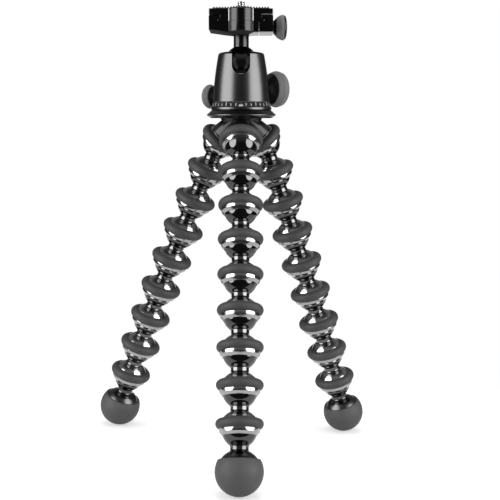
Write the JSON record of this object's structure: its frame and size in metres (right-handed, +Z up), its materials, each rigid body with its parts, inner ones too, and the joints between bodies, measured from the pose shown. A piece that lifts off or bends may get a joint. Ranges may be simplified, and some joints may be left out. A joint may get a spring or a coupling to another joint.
{
  "type": "flexible tripod",
  "caption": "Small flexible camera tripod with legs of linked ball joints in rubber rings, round rubber feet, and a panning ball head with a quick-release clamp and plate",
  "frame": {"origin": "on the floor, straight under the middle of the hub's ball joints", "axes": "+Z up, +X to the right as seen from the front, -Y towards the front leg"},
  "size_m": [0.2421, 0.2251, 0.3752],
  "materials": {
    "black_enamel": "satin",
    "gunmetal": "polished",
    "leg_rubber": "matt",
    "black_anodised": "satin",
    "grey_anodised": "brushed",
    "steel": "bright",
    "nylon": "matt",
    "brass": "turned",
    "black_plastic": "gloss",
    "knob_rubber": "stippled",
    "pad_rubber": "ribbed"
  },
  "bodies": {
    "hub": {"hub_core": "black_enamel", "hub_sockets": "gunmetal", "hub_rings": "leg_rubber", "hub_platform": "black_anodised", "hub_stud": "steel", "pan_base": "black_anodised", "pan_washer": "nylon"},
    "housing": {"housing": "grey_anodised", "ball_collar": "black_anodised", "ball_seat": "nylon"},
    "ball": {"ball_stem": "black_anodised", "stem_screw": "steel"},
    "clamp": {"clamp_body": "black_anodised", "guide_pins": "steel"},
    "jaw": {"clamp_jaw": "black_anodised"},
    "clamp_knob": {"clamp_screw": "steel", "clamp_knob": "black_plastic", "clamp_knob_grip": "knob_rubber", "clamp_knob_cap": "black_plastic"},
    "plate": {"plate": "black_anodised", "plate_pad": "pad_rubber"},
    "camera_screw": {"camera_screw": "steel"},
    "ball_lock": {"ball_screw": "steel", "brake_shoe": "brass"},
    "ball_knob": {"ball_knob": "black_plastic", "ball_knob_grip": "knob_rubber"},
    "pan_lock": {"pan_screw": "steel", "pan_shoe": "brass"},
    "pan_knob": {"pan_knob": "black_plastic", "pan_knob_grip": "knob_rubber"},
    "front_link_1": {"front_link_1": "black_plastic"},
    "front_link_2": {"front_link_2": "black_plastic"},
    "front_link_3": {"front_link_3": "black_plastic"},
    "front_link_4": {"front_link_4": "black_plastic"},
    "front_link_5": {"front_link_5": "black_plastic"},
    "front_link_6": {"front_link_6": "black_plastic"},
    "front_link_7": {"front_link_7": "black_plastic"},
    "front_link_8": {"front_link_8": "black_plastic"},
    "front_foot": {"front_foot_core": "black_plastic", "front_foot_boot": "leg_rubber"},
    "left_link_1": {"left_link_1": "black_plastic"},
    "left_link_2": {"left_link_2": "black_plastic"},
    "left_link_3": {"left_link_3": "black_plastic"},
    "left_link_4": {"left_link_4": "black_plastic"},
    "left_link_5": {"left_link_5": "black_plastic"},
    "left_link_6": {"left_link_6": "black_plastic"},
    "left_link_7": {"left_link_7": "black_plastic"},
    "left_link_8": {"left_link_8": "black_plastic"},
    "left_foot": {"left_foot_core": "black_plastic", "left_foot_boot": "leg_rubber"},
    "right_link_1": {"right_link_1": "black_plastic"},
    "right_link_2": {"right_link_2": "black_plastic"},
    "right_link_3": {"right_link_3": "black_plastic"},
    "right_link_4": {"right_link_4": "black_plastic"},
    "right_link_5": {"right_link_5": "black_plastic"},
    "right_link_6": {"right_link_6": "black_plastic"},
    "right_link_7": {"right_link_7": "black_plastic"},
    "right_link_8": {"right_link_8": "black_plastic"},
    "right_foot": {"right_foot_core": "black_plastic", "right_foot_boot": "leg_rubber"}
  },
  "joints": [
    {"name": "pan", "type": "hinge", "parent": "hub", "child": "housing", "pos_m": [-0.00105, -0.0018, 0.29338], "axis": [-0.0305, -0.0523, 0.9982], "continuous": true},
    {"name": "ball_tilt", "type": "hinge", "parent": "housing", "child": "ball", "pos_m": [-0.00203, -0.00349, 0.32572], "axis": [0.9995, 0, 0.0305], "range_deg": [-30, 90]},
    {"name": "clamp_spin", "type": "hinge", "parent": "ball", "child": "clamp", "pos_m": [-0.00271, -0.00466, 0.34798], "axis": [-0.0305, -0.0523, 0.9982], "range_deg": [-180, 180]},
    {"name": "jaw_slide", "type": "slide", "parent": "clamp", "child": "jaw", "axis": [0.9995, 0, 0.0305], "range_m": [0, 0.004]},
    {"name": "clamp_knob_turn", "type": "hinge", "parent": "jaw", "child": "clamp_knob", "pos_m": [-0.0029, -0.00498, 0.35417], "axis": [0.9995, 0, 0.0305], "range_deg": [0, 1440]},
    {"name": "plate_slide", "type": "slide", "parent": "clamp", "child": "plate", "axis": [-0.0016, 0.9986, 0.0523], "range_m": [-0.015, 0.015]},
    {"name": "camera_screw_turn", "type": "hinge", "parent": "plate", "child": "camera_screw", "pos_m": [-0.00331, -0.00568, 0.36754], "axis": [-0.0305, -0.0523, 0.9982], "continuous": true},
    {"name": "ball_lock_slide", "type": "slide", "parent": "housing", "child": "ball_lock", "axis": [0.8278, 0.5584, 0.0546], "range_m": [0, 0.00125]},
    {"name": "ball_knob_turn", "type": "hinge", "parent": "ball_lock", "child": "ball_knob", "pos_m": [-0.00139, -0.00239, 0.30466], "axis": [0.8278, 0.5584, 0.0546], "range_deg": [0, 360]},
    {"name": "pan_lock_slide", "type": "slide", "parent": "housing", "child": "pan_lock", "axis": [-0.8295, 0.5584, 0.0039], "range_m": [0, 0.0006]},
    {"name": "pan_knob_turn", "type": "hinge", "parent": "pan_lock", "child": "pan_knob", "pos_m": [-0.0012, -0.00206, 0.29847], "axis": [-0.8295, 0.5584, 0.0039], "range_deg": [0, 270]},
    {"name": "front_joint_1", "type": "hinge", "parent": "hub", "child": "front_link_1", "pos_m": [0.00004, -0.02237, 0.25797], "axis": [-0.9976, -0.0698, 0], "range_deg": [-15, 47]},
    {"name": "front_joint_2", "type": "hinge", "parent": "front_link_1", "child": "front_link_2", "pos_m": [0.00086, -0.03419, 0.23161], "axis": [0.0637, -0.9116, 0.406], "range_deg": [-35, 35]},
    {"name": "front_joint_3", "type": "hinge", "parent": "front_link_2", "child": "front_link_3", "pos_m": [0.00168, -0.04589, 0.2052], "axis": [0.9976, 0.0698, 0], "range_deg": [-35, 35]},
    {"name": "front_joint_4", "type": "hinge", "parent": "front_link_3", "child": "front_link_4", "pos_m": [0.00249, -0.05748, 0.17874], "axis": [-0.064, 0.9151, -0.398], "range_deg": [-35, 35]},
    {"name": "front_joint_5", "type": "hinge", "parent": "front_link_4", "child": "front_link_5", "pos_m": [0.00329, -0.06896, 0.15223], "axis": [-0.9976, -0.0698, 0], "range_deg": [-35, 35]},
    {"name": "front_joint_6", "type": "hinge", "parent": "front_link_5", "child": "front_link_6", "pos_m": [0.00409, -0.08032, 0.12566], "axis": [0.0642, -0.9186, 0.39], "range_deg": [-35, 35]},
    {"name": "front_joint_7", "type": "hinge", "parent": "front_link_6", "child": "front_link_7", "pos_m": [0.00487, -0.09156, 0.09905], "axis": [0.9976, 0.0698, 0], "range_deg": [-35, 35]},
    {"name": "front_joint_8", "type": "hinge", "parent": "front_link_7", "child": "front_link_8", "pos_m": [0.00565, -0.10269, 0.07239], "axis": [-0.0645, 0.9219, -0.3819], "range_deg": [-35, 35]},
    {"name": "front_joint_9", "type": "hinge", "parent": "front_link_8", "child": "front_foot", "pos_m": [0.00642, -0.1137, 0.04568], "axis": [-0.9976, -0.0698, 0], "range_deg": [-35, 35]},
    {"name": "left_joint_1", "type": "hinge", "parent": "hub", "child": "left_link_1", "pos_m": [-0.01941, 0.01118, 0.25914], "axis": [0.509, 0.8607, 0], "range_deg": [-15, 47]},
    {"name": "left_joint_2", "type": "hinge", "parent": "left_link_1", "child": "left_link_2", "pos_m": [-0.03004, 0.01747, 0.23301], "axis": [-0.7827, 0.4629, 0.4162], "range_deg": [-35, 35]},
    {"name": "left_joint_3", "type": "hinge", "parent": "left_link_2", "child": "left_link_3", "pos_m": [-0.04039, 0.02359, 0.20673], "axis": [-0.509, -0.8607, 0], "range_deg": [-35, 35]},
    {"name": "left_joint_4", "type": "hinge", "parent": "left_link_3", "child": "left_link_4", "pos_m": [-0.05046, 0.02955, 0.1803], "axis": [0.7912, -0.4679, -0.3938], "range_deg": [-35, 35]},
    {"name": "left_joint_5", "type": "hinge", "parent": "left_link_4", "child": "left_link_5", "pos_m": [-0.06026, 0.03534, 0.15374], "axis": [0.509, 0.8607, 0], "range_deg": [-35, 35]},
    {"name": "left_joint_6", "type": "hinge", "parent": "left_link_5", "child": "left_link_6", "pos_m": [-0.06978, 0.04097, 0.12704], "axis": [-0.7992, 0.4727, 0.3712], "range_deg": [-35, 35]},
    {"name": "left_joint_7", "type": "hinge", "parent": "left_link_6", "child": "left_link_7", "pos_m": [-0.07901, 0.04643, 0.1002], "axis": [-0.509, -0.8607, 0], "range_deg": [-35, 35]},
    {"name": "left_joint_8", "type": "hinge", "parent": "left_link_7", "child": "left_link_8", "pos_m": [-0.08796, 0.05173, 0.07324], "axis": [0.8068, -0.4771, -0.3484], "range_deg": [-35, 35]},
    {"name": "left_joint_9", "type": "hinge", "parent": "left_link_8", "child": "left_foot", "pos_m": [-0.09663, 0.05685, 0.04615], "axis": [0.509, 0.8607, 0], "range_deg": [-35, 35]},
    {"name": "right_joint_1", "type": "hinge", "parent": "hub", "child": "right_link_1", "pos_m": [0.01937, 0.01118, 0.26032], "axis": [0.5446, -0.8387, 0], "range_deg": [-15, 47]},
    {"name": "right_joint_2", "type": "hinge", "parent": "right_link_1", "child": "right_link_2", "pos_m": [0.02909, 0.0175, 0.23385], "axis": [0.7709, 0.5006, 0.3938], "range_deg": [-35, 35]},
    {"name": "right_joint_3", "type": "hinge", "parent": "right_link_2", "child": "right_link_3", "pos_m": [0.03864, 0.02369, 0.20728], "axis": [-0.5446, 0.8387, 0], "range_deg": [-35, 35]},
    {"name": "right_joint_4", "type": "hinge", "parent": "right_link_3", "child": "right_link_4", "pos_m": [0.048, 0.02978, 0.18063], "axis": [-0.776, -0.5039, -0.3793], "range_deg": [-35, 35]},
    {"name": "right_joint_5", "type": "hinge", "parent": "right_link_4", "child": "right_link_5", "pos_m": [0.0572, 0.03575, 0.15389], "axis": [0.5446, -0.8387, 0], "range_deg": [-35, 35]},
    {"name": "right_joint_6", "type": "hinge", "parent": "right_link_5", "child": "right_link_6", "pos_m": [0.06621, 0.0416, 0.12706], "axis": [0.7809, 0.5071, 0.3647], "range_deg": [-35, 35]},
    {"name": "right_joint_7", "type": "hinge", "parent": "right_link_6", "child": "right_link_7", "pos_m": [0.07505, 0.04735, 0.10015], "axis": [-0.5446, 0.8387, 0], "range_deg": [-35, 35]},
    {"name": "right_joint_8", "type": "hinge", "parent": "right_link_7", "child": "right_link_8", "pos_m": [0.08372, 0.05297, 0.07316], "axis": [-0.7856, -0.5102, -0.35], "range_deg": [-35, 35]},
    {"name": "right_joint_9", "type": "hinge", "parent": "right_link_8", "child": "right_foot", "pos_m": [0.0922, 0.05848, 0.04609], "axis": [0.5446, -0.8387, 0], "range_deg": [-35, 35]}
  ],
  "couplings": [
    {"joint": "clamp_knob_turn", "follows": "jaw_slide", "rad_per_m": 6283.1},
    {"joint": "ball_knob_turn", "follows": "ball_lock_slide", "rad_per_m": 5026.5},
    {"joint": "pan_knob_turn", "follows": "pan_lock_slide", "rad_per_m": 7853.9}
  ]
}
